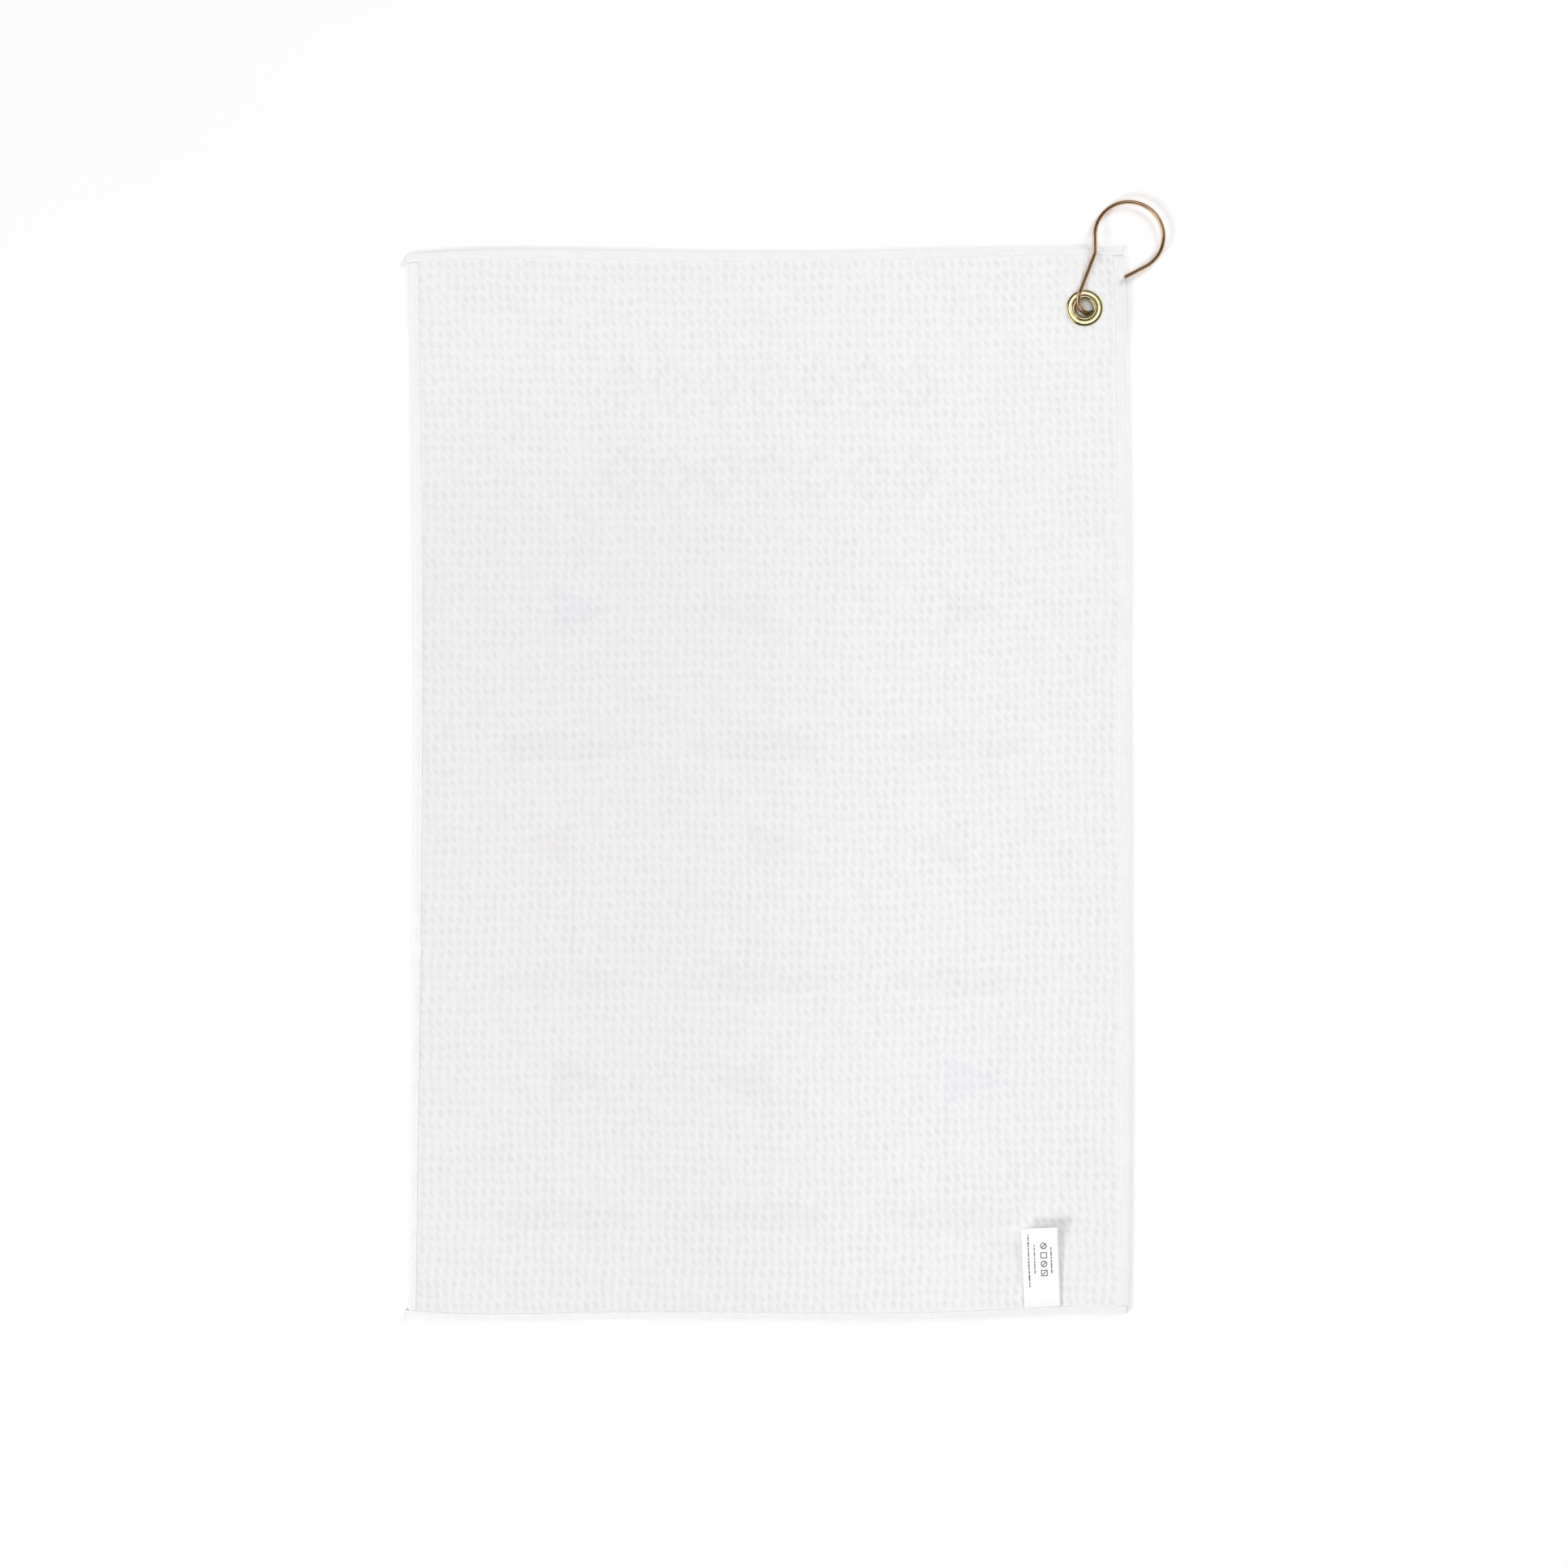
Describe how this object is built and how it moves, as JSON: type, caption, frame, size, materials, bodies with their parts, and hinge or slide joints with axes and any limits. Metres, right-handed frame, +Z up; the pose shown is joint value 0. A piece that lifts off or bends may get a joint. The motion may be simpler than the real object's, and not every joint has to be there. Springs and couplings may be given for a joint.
{
  "type": "golf towel",
  "caption": "Flat golf towel of waffle-weave cloth with bound edges, an eyelet in one corner, an open wire hook to hang it by and a care label.",
  "frame": {"origin": "centre of the towel's underside, on the surface it lies on", "axes": "+X right and +Y towards the top edge as the plain side is looked down on, +Z up out of the plain side; the eyelet is in the +X +Y corner"},
  "size_m": [0.433, 0.6392, 0.0102],
  "materials": {
    "waffle_cloth": "matt white waffle-weave microfibre, printed on its underside",
    "binding_cloth": "smooth white binding tape",
    "thread": "white polyester sewing thread",
    "grommet_brass": "polished pale brass",
    "hook_copper": "copper-toned plated wire, polished",
    "label_satin": "white satin ribbon with plain printed bars and shapes"
  },
  "bodies": {
    "towel": {"towel_panel": "waffle_cloth", "binding_top": "binding_cloth", "binding_bottom": "binding_cloth", "binding_left": "binding_cloth", "binding_right": "binding_cloth", "seam_thread_top": "thread", "seam_thread_bottom": "thread", "seam_thread_left": "thread", "seam_thread_right": "thread", "edge_thread_top": "thread", "edge_thread_bottom": "thread", "edge_thread_left": "thread", "edge_thread_right": "thread", "grommet_eyelet": "grommet_brass", "grommet_washer": "grommet_brass", "label_stitches": "thread"},
    "hook": {"hook_wire": "hook_copper"},
    "label": {"care_label": "label_satin"}
  },
  "joints": [
    {"name": "hook_swivel", "type": "hinge", "parent": "towel", "child": "hook", "pos_m": [0.1793, 0.2711, 0.006], "axis": [0, 0, 1], "continuous": true},
    {"name": "label_flip", "type": "hinge", "parent": "towel", "child": "label", "pos_m": [0.1556, -0.2955, 0.00267], "axis": [0.9989, 0.0471, 0], "range_deg": [0, 150]}
  ]
}
